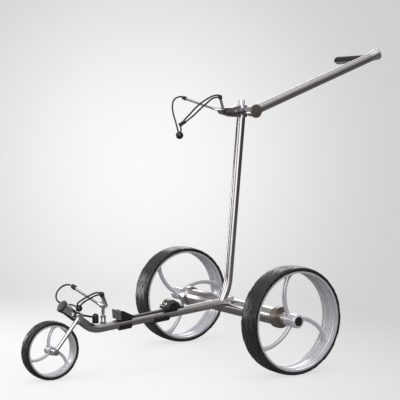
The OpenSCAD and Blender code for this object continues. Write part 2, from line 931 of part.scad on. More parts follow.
module handle_tube() {
    color(steel) from_axle() difference() {
        union() {
            on_handle(0) cylinder(h = tube_end, r = handle_r);
            along_x(barrel_end + gap, [pivot_y, pivot_z])
                cylinder(h = disc_x - disc_t - barrel_end - gap, r = eye_r);
        }
        on_handle(eye_r + 4) cylinder(h = handle_len, r = handle_in);
        along_x(0, [pivot_y, pivot_z]) cylinder(h = 100, r = bolt_r);
        along_x(disc_x - disc_t, [pivot_y, pivot_z]) cylinder(h = disc_t + 20, r = disc_r + gap);
        on_handle(0) translate([-200, -50, -50]) cube([200 - handle_x + barrel_end + gap, 100, 70]);
    }
}

module pivot_disc() {
    color(bronze) from_axle() along_x(disc_x - disc_t, [pivot_y, pivot_z]) union() {
        cylinder(h = disc_t - 1, r = disc_r);
        translate([0, 0, disc_t - 1 - eps]) rotate_extrude()
            polygon([[0, 0], [disc_r, 0], [disc_r - 1, 1], [0, 1]]);
    }
}

// The grip bar's outside, from the handle tube's axis towards -X
module grip_run(r) {
    on_handle(grip_at) rotate([0, -90, 0]) domed(r, grip_len - grip_d / 2 + r);
}

module grip_bar() {
    color(steel) from_axle() difference() {
        grip_run(grip_d / 2);
        grip_run(grip_d / 2 - tube_wall);
        on_handle(0) cylinder(h = handle_len, r = handle_r);
    }
}

// The pad covers the upper half of the bar
module grip_pad() {
    color(black) from_axle() difference() {
        grip_run(grip_d / 2 + pad_t);
        grip_run(grip_d / 2);
        on_handle(0) cylinder(h = handle_len, r = handle_r + 1);
        translate([0, pivot_y, pivot_z]) rotate([handle_rise, 0, 0])
            translate([-300, 0, -200]) cube([600, 600, 200]);
    }
}

module dial_sensor() {
    color("gray") from_axle() difference() {
        on_handle(tube_end - 20) cylinder(h = 20, r = handle_in);
        on_handle(tube_end - 18) cylinder(h = 30, r = 3);
    }
}

// The dial flares from the tube's size to a fluted end, on its own spindle
module speed_dial() {
    end_r = dial_d / 2;
    long = dial_len - gap;
    color(steel) from_axle() on_handle(tube_end + gap) difference() {
        union() {
            rotate_extrude() polygon([
                [0, 0], [handle_r, 0], [handle_r + 0.4, long * 0.25],
                [handle_r + 1.5, long * 0.5], [end_r - 1.2, long * 0.75],
                [end_r, long * 0.88], [end_r - 0.6, long - 1], [end_r - 3, long], [0, long]
            ]);
            translate([0, 0, -16]) cylinder(h = 17, r = 3 - run_fit);
        }
        for (a = [0:360 / dial_grooves:359]) rotate([0, 0, a])
            translate([end_r + 1.2, 0, long * 0.45]) cylinder(h = long, r = 2);
    }
}

main_tube();
axle_tube();
mast_tube();
end_collars();
output_bearings();
gearboxes();
motor_cans();
controller();
front_sleeve();
front_bumper();
fork_leg();
front_axle();
battery_pad();
front_stop();
stop_plate();
rear_stop();
power_contacts();
under_clamps();
clamp_screws();
post_socket();
bracket_post();
lower_bracket();
lower_caps();
lower_cord();
lower_loop();
lower_ball();
head_block();
pivot_bolt();
upper_bracket();
upper_caps();
upper_cord();
upper_loop();
upper_toggle();
upper_ball();
head_knob();
left_tyre();
left_rim();
left_spokes();
left_adapter();
left_shaft();
left_button();
left_rotor();
right_tyre();
right_rim();
right_spokes();
right_adapter();
right_shaft();
right_button();
right_rotor();
front_tyre();
front_rim();
front_spokes();
front_bearings();
handle_tube();
pivot_disc();
grip_bar();
grip_pad();
dial_sensor();
speed_dial();
release_lever();
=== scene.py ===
"""Looks for the three-wheeled electric golf trolley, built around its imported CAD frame.
Metres everywhere, in the CAD frame: +X is the handle pivot's side, -Y is forward, +Z is up."""

import json
from math import atan2, cos, hypot, pi, radians, sin, sqrt

import bmesh
import bpy
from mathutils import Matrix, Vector

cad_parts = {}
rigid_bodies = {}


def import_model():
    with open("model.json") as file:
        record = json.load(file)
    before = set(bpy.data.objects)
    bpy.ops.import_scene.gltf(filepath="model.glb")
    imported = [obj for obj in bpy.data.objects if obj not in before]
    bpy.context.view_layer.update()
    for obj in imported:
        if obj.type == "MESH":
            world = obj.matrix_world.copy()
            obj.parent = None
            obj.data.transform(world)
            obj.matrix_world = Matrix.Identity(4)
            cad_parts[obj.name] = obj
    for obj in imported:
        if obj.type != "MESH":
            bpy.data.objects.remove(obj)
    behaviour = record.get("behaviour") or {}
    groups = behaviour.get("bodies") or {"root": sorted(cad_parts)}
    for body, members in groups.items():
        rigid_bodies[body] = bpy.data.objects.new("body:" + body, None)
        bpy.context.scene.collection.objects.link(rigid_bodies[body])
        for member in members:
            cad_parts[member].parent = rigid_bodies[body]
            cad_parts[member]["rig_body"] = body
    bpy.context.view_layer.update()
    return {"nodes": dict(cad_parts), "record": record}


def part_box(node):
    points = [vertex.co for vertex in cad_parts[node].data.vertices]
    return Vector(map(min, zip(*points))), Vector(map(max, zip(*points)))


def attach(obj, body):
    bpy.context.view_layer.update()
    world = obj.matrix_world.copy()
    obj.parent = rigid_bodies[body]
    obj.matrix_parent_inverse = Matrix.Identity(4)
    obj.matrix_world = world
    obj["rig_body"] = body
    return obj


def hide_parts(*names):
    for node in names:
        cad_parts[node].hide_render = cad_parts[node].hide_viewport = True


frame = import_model()

MM = 0.001
MAIN_SLOPE, MAIN_RISE = radians(5.2), 17 * MM
MAST_LEAN, HANDLE_RISE = radians(5.3), radians(20.8)
axle_low, axle_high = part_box("axle_tube")
AXLE = (axle_low + axle_high) / 2
SLOT_OF = {part["node"]: part["material_slot"] for part in frame["record"]["subparts"]}


def at(x, y, z):
    """The point x, y and z millimetres from the floor under the middle of the rear axle."""
    return Vector((x * MM, AXLE.y + y * MM, z * MM))


# ---- camera ------------------------------------------------------------------

def make_camera():
    """A long lens at bench height, ahead of the trolley on the handle pivot's side."""
    lens = bpy.data.cameras.new("studio_camera")
    lens.sensor_width = 36
    lens.lens = 107.33
    lens.clip_end = 100
    camera = bpy.data.objects.new("studio_camera", lens)
    bpy.context.scene.collection.objects.link(camera)
    eye, target = at(2898.67, -1963.71, 708.29), at(-78.81, -63.63, 462.15)
    camera.location = eye
    camera.rotation_mode = "QUATERNION"
    camera.rotation_quaternion = (target - eye).to_track_quat("-Z", "Y")
    bpy.context.scene.camera = camera


make_camera()

# ---- shader groups -----------------------------------------------------------

def new_group(name, inputs, outputs):
    """An empty shader group with named sockets, and its first and last node."""
    group = bpy.data.node_groups.new(name, "ShaderNodeTree")
    for label, kind, value in inputs:
        socket = group.interface.new_socket(label, in_out="INPUT", socket_type=kind)
        if value is not None:
            socket.default_value = value
    for label, kind in outputs:
        group.interface.new_socket(label, in_out="OUTPUT", socket_type=kind)
    return group, group.nodes.new("NodeGroupInput"), group.nodes.new("NodeGroupOutput")


def add_noise(group, vector, scale, detail, roughness=0.5):
    """A noise texture whose vector and scale are sockets."""
    noise = group.nodes.new("ShaderNodeTexNoise")
    noise.inputs["Detail"].default_value = detail
    noise.inputs["Roughness"].default_value = roughness
    group.links.new(vector, noise.inputs["Vector"])
    group.links.new(scale, noise.inputs["Scale"])
    return noise.outputs["Fac"]


def add_range(group, value, low, high, to_low, to_high):
    """Spreads value from low..high to to_low..to_high, which may be sockets or numbers."""
    spread = group.nodes.new("ShaderNodeMapRange")
    group.links.new(value, spread.inputs["Value"])
    for label, what in (("From Min", low), ("From Max", high),
                        ("To Min", to_low), ("To Max", to_high)):
        if isinstance(what, (int, float)):
            spread.inputs[label].default_value = what
        else:
            group.links.new(what, spread.inputs[label])
    return spread.outputs["Result"]


def make_brushed_lines():
    """Fine lines along the vector's Z, with a tone and a height."""
    group, first, last = new_group(
        "brushed_lines",
        [("Vector", "NodeSocketVector", None), ("Scale", "NodeSocketFloat", 600.0)],
        [("Tone", "NodeSocketFloat"), ("Height", "NodeSocketFloat")])
    squash = group.nodes.new("ShaderNodeVectorMath")
    squash.operation = "MULTIPLY"
    squash.inputs[1].default_value = (1, 1, 0.02)
    group.links.new(first.outputs["Vector"], squash.inputs[0])
    lines = add_noise(group, squash.outputs["Vector"], first.outputs["Scale"], 4, 0.7)
    group.links.new(add_range(group, lines, 0.3, 0.7, 0.0, 1.0), last.inputs["Tone"])
    group.links.new(lines, last.inputs["Height"])
    return group


def make_moulded_grain():
    """A pebbled grain as moulded plastic, rubber and leather have."""
    group, first, last = new_group(
        "moulded_grain",
        [("Vector", "NodeSocketVector", None), ("Scale", "NodeSocketFloat", 900.0)],
        [("Tone", "NodeSocketFloat"), ("Height", "NodeSocketFloat")])
    cells = group.nodes.new("ShaderNodeTexVoronoi")
    cells.feature = "SMOOTH_F1"
    group.links.new(first.outputs["Vector"], cells.inputs["Vector"])
    group.links.new(first.outputs["Scale"], cells.inputs["Scale"])
    clouds = add_noise(group, first.outputs["Vector"], first.outputs["Scale"], 3)
    both = group.nodes.new("ShaderNodeMath")
    both.operation = "MULTIPLY"
    group.links.new(cells.outputs["Distance"], both.inputs[0])
    group.links.new(clouds, both.inputs[1])
    group.links.new(add_range(group, clouds, 0.3, 0.7, 0.0, 1.0), last.inputs["Tone"])
    group.links.new(both.outputs["Value"], last.inputs["Height"])
    return group


def make_hand_smudges():
    """Large soft patches where handling and dust change how sharp a surface reflects."""
    group, first, last = new_group(
        "hand_smudges",
        [("Vector", "NodeSocketVector", None), ("Scale", "NodeSocketFloat", 8.0),
         ("Sharp", "NodeSocketFloat", 0.1), ("Dull", "NodeSocketFloat", 0.3)],
        [("Roughness", "NodeSocketFloat"), ("Mask", "NodeSocketFloat")])
    patches = add_noise(group, first.outputs["Vector"], first.outputs["Scale"], 5, 0.6)
    mask = add_range(group, patches, 0.4, 0.7, 0.0, 1.0)
    dull = add_range(group, mask, 0.0, 1.0, first.outputs["Sharp"], first.outputs["Dull"])
    group.links.new(dull, last.inputs["Roughness"])
    group.links.new(mask, last.inputs["Mask"])
    return group


BRUSHED, GRAIN, SMUDGES = make_brushed_lines(), make_moulded_grain(), make_hand_smudges()

# ---- finishes ----------------------------------------------------------------

def make_finish(name, dark, light, sharp, dull, metallic=0.0, pattern=GRAIN, scale=900,
                turn=(0, 0, 0), bump=0.1, height=0.0002, patch=9, coat=0.0, dust=0.0):
    """A Principled finish: two tones in a pattern, patches of roughness, and a fine bump."""
    material = bpy.data.materials.new(name)
    material.use_nodes = True
    nodes, links = material.node_tree.nodes, material.node_tree.links
    shader = nodes["Principled BSDF"]
    place = nodes.new("ShaderNodeTexCoord")
    mapping = nodes.new("ShaderNodeMapping")
    mapping.inputs["Rotation"].default_value = turn
    links.new(place.outputs["Object"], mapping.inputs["Vector"])
    grain = nodes.new("ShaderNodeGroup")
    grain.node_tree = pattern
    grain.inputs["Scale"].default_value = scale
    links.new(mapping.outputs["Vector"], grain.inputs["Vector"])
    smudges = nodes.new("ShaderNodeGroup")
    smudges.node_tree = SMUDGES
    smudges.inputs["Scale"].default_value = patch
    smudges.inputs["Sharp"].default_value = sharp
    smudges.inputs["Dull"].default_value = dull
    links.new(place.outputs["Object"], smudges.inputs["Vector"])
    links.new(smudges.outputs["Roughness"], shader.inputs["Roughness"])
    tones = nodes.new("ShaderNodeMix")
    tones.data_type = "RGBA"
    tones.inputs["A"].default_value = (*dark, 1)
    tones.inputs["B"].default_value = (*light, 1)
    links.new(grain.outputs["Tone"], tones.inputs["Factor"])
    colour = tones.outputs["Result"]
    if dust:
        dusty = nodes.new("ShaderNodeMix")
        dusty.data_type = "RGBA"
        dusty.inputs["B"].default_value = (*[c + dust for c in light], 1)
        links.new(smudges.outputs["Mask"], dusty.inputs["Factor"])
        links.new(colour, dusty.inputs["A"])
        colour = dusty.outputs["Result"]
    links.new(colour, shader.inputs["Base Color"])
    relief = nodes.new("ShaderNodeBump")
    relief.inputs["Strength"].default_value = bump
    relief.inputs["Distance"].default_value = height
    links.new(grain.outputs["Height"], relief.inputs["Height"])
    links.new(relief.outputs["Normal"], shader.inputs["Normal"])
    shader.inputs["Metallic"].default_value = metallic
    shader.inputs["Coat Weight"].default_value = coat
    shader.inputs["Coat Roughness"].default_value = 0.08
    return material


def steel_along(name, turn):
    """Polished stainless tube, brushed along the axis that turn brings to Z."""
    return make_finish(name, (0.5, 0.48, 0.485), (0.6, 0.58, 0.585), 0.2, 0.28, 1.0, BRUSHED, 260,
                       turn, bump=0.002, height=0.0001)


main_turn, mast_turn = (pi / 2 - MAIN_SLOPE, 0, 0), (MAST_LEAN, 0, 0)
handle_turn, cross_turn = (pi / 2 - HANDLE_RISE, 0, 0), (0, -pi / 2, 0)
FINISHES = {
    "stainless_tube": steel_along("main_tube_steel", main_turn),
    "polished_steel": make_finish("polished_fittings", (0.7, 0.69, 0.7), (0.82, 0.82, 0.82),
                                  0.12, 0.24, 1.0, BRUSHED, 300, bump=0.006, patch=30),
    "machine_steel": make_finish("turned_steel", (0.42, 0.42, 0.43), (0.6, 0.6, 0.61),
                                 0.2, 0.34, 1.0, BRUSHED, 900, cross_turn, bump=0.12),
    "silver_paint": make_finish("silver_rim_paint", (0.74, 0.74, 0.79), (0.83, 0.83, 0.88),
                                0.24, 0.36, 0.35, GRAIN, 2500, bump=0.03, coat=0.5),
    "alloy": make_finish("turned_alloy", (0.55, 0.55, 0.57), (0.72, 0.72, 0.74),
                         0.2, 0.3, 1.0, BRUSHED, 700, cross_turn, bump=0.1),
    "bronze_alloy": make_finish("bronze_anodising", (0.2, 0.175, 0.145), (0.29, 0.255, 0.215),
                                0.32, 0.44, 0.7, BRUSHED, 700, cross_turn, bump=0.1),
    "tyre_rubber": make_finish("tyre_rubber", (0.016, 0.016, 0.018), (0.028, 0.028, 0.032),
                               0.26, 0.4, 0.0, GRAIN, 700, bump=0.12, dust=0.012),
    "soft_rubber": make_finish("soft_rubber", (0.02, 0.019, 0.019), (0.04, 0.037, 0.035),
                               0.4, 0.5, 0.0, GRAIN, 1100, bump=0.1, dust=0.01),
    "grip_leather": make_finish("grip_leather", (0.012, 0.012, 0.014), (0.026, 0.026, 0.03),
                                0.55, 0.7, 0.0, GRAIN, 420, bump=0.4, height=0.0003),
    "black_plastic": make_finish("grained_black_plastic", (0.012, 0.012, 0.013),
                                 (0.022, 0.022, 0.024), 0.3, 0.45, 0.0, GRAIN, 1400, bump=0.3),
    "gloss_black": make_finish("gloss_black_plastic", (0.008, 0.008, 0.009),
                               (0.014, 0.014, 0.016), 0.12, 0.22, 0.0, GRAIN, 600, bump=0.04,
                               coat=0.4),
    "grey_plate": make_finish("grey_coated_plate", (0.14, 0.135, 0.13), (0.2, 0.195, 0.19),
                              0.32, 0.45, 0.4, GRAIN, 1200, bump=0.15),
    "cord_sleeve": make_finish("braided_cord", (0.01, 0.01, 0.011), (0.05, 0.05, 0.053),
                               0.5, 0.65, 0.0, GRAIN, 1500, bump=0.7, height=0.0005),
    "contact_brass": make_finish("plated_contact", (0.6, 0.55, 0.42), (0.8, 0.74, 0.58),
                                 0.15, 0.25, 1.0, BRUSHED, 900, bump=0.05),
    "circuit": make_finish("potting_green", (0.02, 0.09, 0.05), (0.03, 0.14, 0.08),
                           0.35, 0.5, 0.0, GRAIN, 300, bump=0.2),
    "motor_steel": make_finish("dark_coated_steel", (0.05, 0.055, 0.06), (0.08, 0.085, 0.09),
                               0.3, 0.42, 0.7, BRUSHED, 700, cross_turn, bump=0.1),
    "winding": make_finish("copper_winding", (0.4, 0.18, 0.08), (0.62, 0.32, 0.16),
                           0.25, 0.4, 1.0, BRUSHED, 400, cross_turn, bump=0.5),
}
OWN_FINISH = {
    "head_block": make_finish("head_casting", (0.3, 0.285, 0.3), (0.52, 0.5, 0.53),
                              0.14, 0.26, 1.0, BRUSHED, 120, bump=0.05, patch=60),
    "axle_tube": steel_along("cross_tube_steel", cross_turn),
    "mast_tube": steel_along("mast_steel", mast_turn),
    "handle_tube": steel_along("handle_steel", handle_turn),
}
for node, piece in frame["nodes"].items():
    piece.material_slots[0].material = OWN_FINISH.get(node, FINISHES[SLOT_OF[node]])

# ---- making pieces -----------------------------------------------------------

def finish_piece(piece, body, slot, stands_for=(), smooth=35, material=None):
    """Gives a new piece the finish of its slot, or the material given, and its body, and hides
    the CAD nodes it stands for.
    """
    if piece.type == "MESH":
        piece.data.shade_smooth()
        piece.data.set_sharp_from_angle(angle=radians(smooth))
    piece.data.materials.clear()
    piece.data.materials.append(material or FINISHES[slot])
    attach(piece, body)
    if stands_for:
        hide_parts(*stands_for)
    return piece


def mesh_piece(name, bm):
    """Turns a bmesh into a piece at the origin, with its faces outwards."""
    bmesh.ops.recalc_face_normals(bm, faces=bm.faces)
    mesh = bpy.data.meshes.new(name)
    bm.to_mesh(mesh)
    bm.free()
    piece = bpy.data.objects.new(name, mesh)
    bpy.context.scene.collection.objects.link(piece)
    return piece


def add_bevel(piece, width, segments=2):
    """Rounds a piece's hard edges off."""
    bevel = piece.modifiers.new("soft_edges", "BEVEL")
    bevel.width, bevel.segments = width, segments
    bevel.limit_method, bevel.angle_limit = "ANGLE", radians(32)
    return piece


def cad_copy(node):
    """A CAD node's faces, joined up and with their flat parts in one."""
    bm = bmesh.new()
    bm.from_mesh(frame["nodes"][node].data)
    bmesh.ops.remove_doubles(bm, verts=bm.verts, dist=3e-6)
    bmesh.ops.dissolve_limit(bm, angle_limit=radians(0.6), verts=bm.verts, edges=bm.edges)
    return bm


def softened(node, width, segments=2):
    """A copy of a CAD node with its hard edges rounded off, standing for that node."""
    piece = mesh_piece(node + "_finished", cad_copy(node))
    add_bevel(piece, width, segments)
    return finish_piece(piece, frame["nodes"][node]["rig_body"], SLOT_OF[node], (node,), 40,
                        OWN_FINISH.get(node))


def spun(profile, origin, axis, steps=64):
    """A closed solid turned from (along, radius) points about an axis through origin."""
    bm = bmesh.new()
    axis = Vector(axis).normalized()
    side = axis.orthogonal().normalized()
    ring = [bm.verts.new(origin + axis * along + side * radius) for along, radius in profile]
    closed = profile[0][1] > 0 and profile[-1][1] > 0
    pairs = list(zip(ring, ring[1:])) + ([(ring[-1], ring[0])] if closed else [])
    edges = [bm.edges.new(pair) for pair in pairs]
    bmesh.ops.spin(bm, geom=ring + edges, cent=origin, axis=axis, angle=2 * pi, steps=steps,
                   use_merge=True)
    bmesh.ops.remove_doubles(bm, verts=bm.verts, dist=2e-6)
    return bm


# ---- elastic cords -----------------------------------------------------------

CORD_D = 4.8 * MM
UPPER_CORD = [(-101, -112, 766), (-102, -117, 768), (-106, -131, 763), (-103, -142, 752),
              (-95, -149, 735), (-78, -156, 716), (-52, -166, 699), (-24, -178, 683),
              (-6, -184, 667)]
UPPER_LOOP_A = [(99, -112, 766), (99, -117, 769), (94, -130, 767), (86, -138, 762),
                (72, -150, 751), (50, -159, 735), (28, -166, 716), (8, -172, 699)]
UPPER_LOOP_B = [(101, -114, 764), (88, -128, 760), (72, -138, 746), (56, -147, 732),
                (38, -155, 716), (22, -163, 703), (7, -169, 693)]
UPPER_LEAD = [(3, -181, 684), (7, -183, 677), (8, -183, 671), (4, -182, 665)]
LOWER_CORD = [(-89, -487, 239), (-92, -500, 240), (-91, -516, 234), (-82, -532, 223),
              (-68, -542, 212), (-50, -545, 203), (-32, -540, 198), (-14, -532, 198),
              (2, -524, 197), (9, -518, 193)]
LOWER_LOOP_A = [(88, -486, 239), (82, -498, 239), (71, -508, 232), (58, -516, 224),
                (44, -522, 215), (30, -525, 206), (19, -520, 195)]
LOWER_LOOP_B = [(90, -483, 235), (78, -495, 231), (64, -504, 222), (50, -511, 214),
                (37, -514, 206), (27, -514, 200), (20, -512, 193)]


def smooth_route(points, steps=6):
    """A Catmull-Rom curve through the points."""
    points = [at(*p) for p in points]
    route = []
    for i in range(len(points) - 1):
        before, start = points[max(i - 1, 0)], points[i]
        end, after = points[i + 1], points[min(i + 2, len(points) - 1)]
        for k in range(steps):
            t = k / steps
            route.append(0.5 * (2 * start + (end - before) * t
                                + (2 * before - 5 * start + 4 * end - after) * t * t
                                + (3 * start - before - 3 * end + after) * t * t * t))
    return route + [points[-1]]


def cord_piece(name, points, stands_for):
    """A cord as one open curve along a smooth route through the points."""
    route = smooth_route(points)
    curve = bpy.data.curves.new(name, "CURVE")
    curve.dimensions = "3D"
    curve.bevel_depth = CORD_D / 2
    curve.bevel_resolution = 3
    curve.use_fill_caps = True
    spline = curve.splines.new("POLY")
    spline.points.add(len(route) - 1)
    for spot, point in zip(spline.points, route):
        spot.co = (*point, 1)
    piece = bpy.data.objects.new(name, curve)
    bpy.context.scene.collection.objects.link(piece)
    finish_piece(piece, "frame", "cord_sleeve", stands_for)
    return piece


def turned_ball(name, centre, radius, node):
    """A cord ball: a turned ball with a collar and a bore rim at its top."""
    bore, bore_floor, steps = 1.65 * MM, radius * 0.86, 14
    profile = [(-radius, 0)]
    for k in range(1, steps):
        a = -pi / 2 + pi * k / steps
        profile.append((radius * sin(a), radius * cos(a)))
    profile += [(radius * 0.97, radius * 0.2), (bore_floor, bore), (bore_floor, 0)]
    bm = spun(profile, at(*centre), (0.15, 0, 1), 40)
    return finish_piece(mesh_piece(name, bm), "frame", "gloss_black", (node,), 50)


def make_toggle():
    """The long cord stop: a waisted barrel with a rim at each end."""
    middle, axis = at(2, -175, 690), Vector((1, 1, 1)).normalized()
    half, radius, edge = 10.6 * MM, 6.5 * MM, 0.8 * MM
    profile = [(-half, 0), (-half, radius * 0.7), (-half + edge, radius * 0.95)]
    for share in (-0.8, -0.55, -0.3, 0, 0.3, 0.55, 0.8):
        waist = 1 - 0.16 * (1 - share * share)
        profile.append((half * share, radius * waist))
    profile += [(half - edge, radius * 0.95), (half, radius * 0.7), (half, 0)]
    bm = spun(profile, middle, axis, 32)
    return finish_piece(mesh_piece("cord_toggle", bm), "frame", "gloss_black",
                        ("upper_toggle",), 40)


toggle = make_toggle()
upper_ball = turned_ball("upper_cord_ball", (0, -183, 656), 11 * MM, "upper_ball")
lower_ball = turned_ball("lower_cord_ball", (15.5, -513.8, 189.6), 9.5 * MM, "lower_ball")
cord_piece("upper_cord_far", UPPER_CORD, ("upper_cord",))
cord_piece("upper_cord_near", UPPER_LOOP_A + UPPER_LEAD, ("upper_loop",))
cord_piece("upper_cord_return", UPPER_LOOP_B, ("upper_loop",))
cord_piece("lower_cord_far", LOWER_CORD, ("lower_cord",))
cord_piece("lower_cord_near", LOWER_LOOP_A, ("lower_loop",))
cord_piece("lower_cord_return", LOWER_LOOP_B, ("lower_loop",))

# ---- tyres -------------------------------------------------------------------

CROWN_FLAT = 0.3  # the share of a tyre's half width that its crown leaves flat
BLOCK_TAPER = 1.9 * MM


def tread_blocks(radius, width, columns, rows, groove, relief):
    """Long hexagon blocks in a flat sheet, cut for the bend, wrapped round a tyre about X."""
    bm = bmesh.new()
    bmesh.ops.create_grid(bm, x_segments=columns, y_segments=2 * rows, size=0.5)
    pitch, step = 2 * pi / columns, width / (2 * rows)
    tip = 0.5 * pitch
    bmesh.ops.scale(bm, verts=bm.verts, vec=(2 * pi, width, 1))
    bm.verts.ensure_lookup_table()

    def cell(point):
        """The column and row numbers of a point in the grid, whole at its corners."""
        return (point.x + pi) / pitch, (point.y + width / 2) / step

    joined = []
    for edge in bm.edges:
        column, row = cell((edge.verts[0].co + edge.verts[1].co) / 2)
        lies_along = abs(column % 1 - 0.5) < 0.1
        if lies_along and edge.link_faces[1:] and (int(column) + round(row)) % 2:
            joined.append(edge)
    for vert in bm.verts:
        column, row = cell(vert.co)
        vert.co.x += tip / 2 if (round(column) + round(row)) % 2 else -tip / 2
    bmesh.ops.dissolve_edges(bm, edges=joined, use_verts=False)
    bmesh.ops.scale(bm, verts=bm.verts, vec=(radius, 1, 1))
    ring = bmesh.ops.inset_individual(bm, faces=bm.faces[:], thickness=groove, depth=0)["faces"]
    bmesh.ops.delete(bm, geom=ring, context="FACES")
    bmesh.ops.inset_individual(bm, faces=bm.faces[:], thickness=BLOCK_TAPER,
                                depth=relief)
    for vert in bm.verts:
        vert.co.z -= relief
    for k in range(2 * columns):
        cut = (k / (2 * columns) * 2 - 1) * pi * radius
        bmesh.ops.bisect_plane(bm, geom=bm.verts[:] + bm.edges[:] + bm.faces[:], dist=1e-6,
                               plane_co=(cut, 0, 0), plane_no=(1, 0, 0))
    return bm


def crown(across, half, drop):
    """How far the tread falls below the tyre's full radius at a distance from its middle."""
    share = abs(across) / half
    return drop * (max(0, share - CROWN_FLAT) / (1 - CROWN_FLAT)) ** 2


def make_tyre(name, node, body, width, bore, columns, rows, side):
    """A tyre as a turned carcass with grooved sides, and separate tread blocks round it."""
    low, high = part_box(node)
    centre, radius = (low + high) / 2, (high.z - low.z) / 2
    half, deep, rooted, sunk = width / 2, 1.6 * MM, 0.4 * MM, 0.1 * MM
    drop = 2.6 * MM if radius > 0.1 else 1.6 * MM
    tread = tread_blocks(radius, width - 1.2 * MM, columns, rows, 1.5 * MM, 1.0 * MM)
    for vert in tread.verts:
        turn, x, lift = vert.co.x / radius, vert.co.y, vert.co.z
        r = radius - sunk - crown(x, half, drop) + min(lift, 0)
        vert.co = centre + Vector((side * x, r * cos(turn), r * sin(turn)))
    tread.normal_update()
    for face in tread.faces:
        if face.normal.dot(face.calc_center_median() - centre) < 0:
            face.normal_flip()
    bmesh.ops.solidify(tread, geom=tread.faces[:], thickness=deep + rooted)
    blocks = bpy.data.meshes.new("tread")
    tread.to_mesh(blocks)
    tread.free()

    wall_top, shoulder = radius - drop - deep - 3 * MM, radius - drop - deep - 0.6 * MM
    section = [(-half, bore), (-half, wall_top), (-half + 0.5 * MM, shoulder)]
    for k in range(9):
        x = (k / 4 - 1) * (half - 1.2 * MM)
        section.append((x, radius - crown(x, half, drop) - deep))
    section += [(half - 0.5 * MM, shoulder), (half, wall_top), (half, bore)]
    lip, groove_share = 1.2 * MM, 0.988
    middle = (bore + radius) / 2
    for end in (half, -half):
        groove = [(end, middle + lip), (end * groove_share, middle), (end, middle - lip)]
        if end > 0:
            section[-1:-1] = groove
        else:
            section[1:1] = groove[::-1]
    bm = spun(section, centre, (1, 0, 0), 144)
    bm.from_mesh(blocks)
    piece = mesh_piece(name, bm)
    bpy.data.meshes.remove(blocks)
    return finish_piece(piece, body, "tyre_rubber", (node,), 30)


REAR_TYRE_W, REAR_BORE = 65 * MM, 138 * MM
make_tyre("left_tyre_tread", "left_tyre", "left_wheel", REAR_TYRE_W, REAR_BORE, 22, 3, 1)
make_tyre("right_tyre_tread", "right_tyre", "right_wheel", REAR_TYRE_W, REAR_BORE, 22, 3, -1)
make_tyre("front_tyre_tread", "front_tyre", "front_wheel", 34 * MM, 70 * MM, 18, 2, 1)

# ---- wheels ------------------------------------------------------------------

SPOKES, SPOKE_SIDES = 3, 20
SPOKE_ARC = 0.793  # each spoke's bend radius, as a share of its wheel's radius
SPOKE_LEAD = radians(40)  # how far a spoke's root leads its foot round the hub
REAR_R, FRONT_R = 150 * MM, 80 * MM
REAR_FOOT_R, FRONT_FOOT_R = 133 * MM, 67 * MM


def spoke_feet(name, node_tyre, body, root_r, rim_r, arc_r, spoke_r, angle, side):
    """Where each curved spoke flares out onto the rim."""
    low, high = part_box(node_tyre)
    centre = (low + high) / 2
    outer = Vector((rim_r + 4 * MM, 0))
    root = root_r * Vector((cos(SPOKE_LEAD), sin(SPOKE_LEAD)))
    chord = outer - root
    half = chord.length / 2
    across = Vector((chord.y, -chord.x)).normalized()
    hub = (outer + root) / 2 + sqrt(arc_r ** 2 - half ** 2) * across
    start = atan2(outer.y - hub.y, outer.x - hub.x)
    sweep = atan2(root.y - hub.y, root.x - hub.x) - start
    reach = rim_r + 1.5 * MM
    bm = bmesh.new()
    for k in range(SPOKES):
        turn = radians(angle) + 2 * pi * k / SPOKES
        rings = []
        for share, wide, thick in ((0.0, 2.3, 1.5), (0.05, 2.05, 1.42), (0.09, 1.65, 1.3),
                                   (0.14, 1.32, 1.15), (0.2, 1.12, 1.05), (0.27, 0.99, 0.99)):
            a = start + sweep * share
            spot = hub + arc_r * Vector((cos(a), sin(a)))
            out = Vector((cos(a), sin(a)))
            ring = []
            for m in range(SPOKE_SIDES):
                b = 2 * pi * m / SPOKE_SIDES
                flat = spot + out * spoke_r * wide * cos(b)
                x = spoke_r * thick * sin(b)
                y = flat.x * cos(turn) - flat.y * sin(turn)
                z = flat.x * sin(turn) + flat.y * cos(turn)
                far = hypot(y, z)
                if far > reach:
                    y, z = y * reach / far, z * reach / far
                ring.append(bm.verts.new(centre + Vector((side * x, y, z))))
            rings.append(ring)
        for a, b in zip(rings, rings[1:]):
            for m in range(SPOKE_SIDES):
                after = (m + 1) % SPOKE_SIDES
                bm.faces.new((a[m], a[after], b[after], b[m]))
        bm.faces.new(rings[0])
        bm.faces.new(rings[-1])
    return finish_piece(mesh_piece(name, bm), body, "silver_paint", (), 60)


for side, name, angle in ((1, "left", 92), (-1, "right", 7)):
    spoke_feet(name + "_spoke_feet", name + "_tyre", name + "_wheel", 15 * MM, REAR_FOOT_R,
               SPOKE_ARC * REAR_R, 6 * MM, angle, side)
spoke_feet("front_spoke_feet", "front_tyre", "front_wheel", 9 * MM, FRONT_FOOT_R,
           SPOKE_ARC * FRONT_R, 4.2 * MM, 76, 1)

# ---- softened CAD pieces -----------------------------------------------------

for node, width in (("front_stop", 0.9), ("rear_stop", 1.6), ("stop_plate", 0.5),
                    ("under_clamps", 0.8), ("head_block", 1.4), ("front_sleeve", 0.5),
                    ("battery_pad", 0.5), ("post_socket", 0.5), ("pivot_disc", 0.5),
                    ("clamp_screws", 0.5), ("front_axle", 0.5), ("lower_caps", 0.5),
                    ("upper_caps", 0.5), ("left_adapter", 0.5), ("right_adapter", 0.5),
                    ("grip_pad", 0.7)):
    softened(node, width * MM)

# ---- stitches, weld, collars and ridges --------------------------------------

